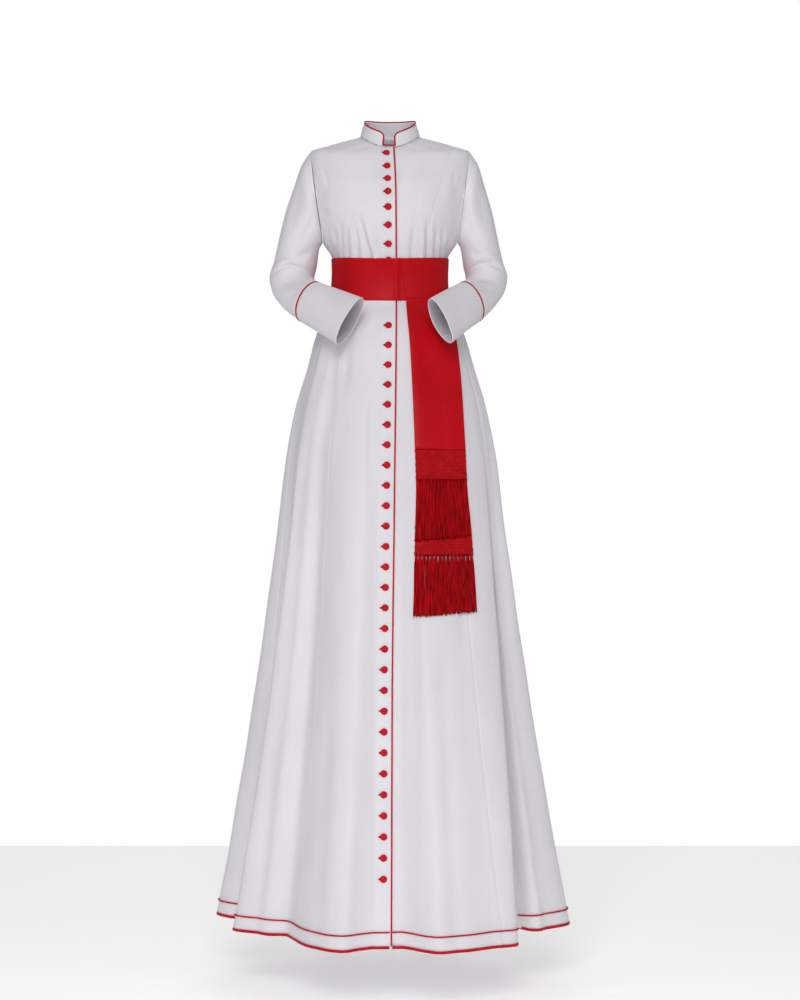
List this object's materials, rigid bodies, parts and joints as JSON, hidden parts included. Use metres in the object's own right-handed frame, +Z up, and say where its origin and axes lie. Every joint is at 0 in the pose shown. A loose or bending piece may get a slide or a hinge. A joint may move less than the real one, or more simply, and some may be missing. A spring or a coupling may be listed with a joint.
{
  "type": "cassock with sash",
  "caption": "Floor-length white cassock with red piping, covered buttons and a notched standing collar, worn with a wide red sash whose fringed ends hang in front.",
  "frame": {"origin": "between the shoulders at the level of the neck's base, in the garment's middle", "axes": "+Z up along the standing wearer, -Y the way the wearer faces, +X towards the wearer's left"},
  "size_m": [0.6674, 0.6565, 1.5255],
  "materials": {
    "cloth": "matt",
    "satin": "satin",
    "trim": "satin",
    "cord": "satin"
  },
  "bodies": {
    "root": {"front_right": "cloth", "front_left": "cloth", "side_front_right": "cloth", "side_front_left": "cloth", "back_right": "cloth", "back_left": "cloth", "sleeve_right": "cloth", "sleeve_left": "cloth", "cuff_right": "cloth", "cuff_left": "cloth", "collar": "cloth", "front_piping": "trim", "collar_piping": "trim", "cuff_piping_right": "trim", "cuff_piping_left": "trim", "hem_piping": "trim", "hem_binding": "trim", "button_01": "trim", "button_02": "trim", "button_03": "trim", "button_04": "trim", "button_05": "trim", "button_06": "trim", "button_07": "trim", "button_08": "trim", "button_09": "trim", "button_10": "trim", "button_11": "trim", "button_12": "trim", "button_13": "trim", "button_14": "trim", "button_15": "trim", "button_16": "trim", "button_17": "trim", "button_18": "trim", "button_19": "trim", "button_20": "trim", "button_21": "trim", "button_22": "trim", "button_23": "trim", "button_24": "trim", "button_25": "trim", "button_26": "trim", "button_27": "trim", "button_28": "trim", "button_29": "trim", "button_30": "trim", "button_31": "trim", "button_32": "trim", "button_33": "trim", "button_34": "trim", "button_35": "trim", "button_36": "trim", "sash_band": "satin", "sash_tail_front": "satin", "sash_tail_back": "satin", "knotted_band_front": "cord", "knotted_band_back": "cord", "fringe_front": "cord", "fringe_back": "cord"}
  },
  "joints": []
}
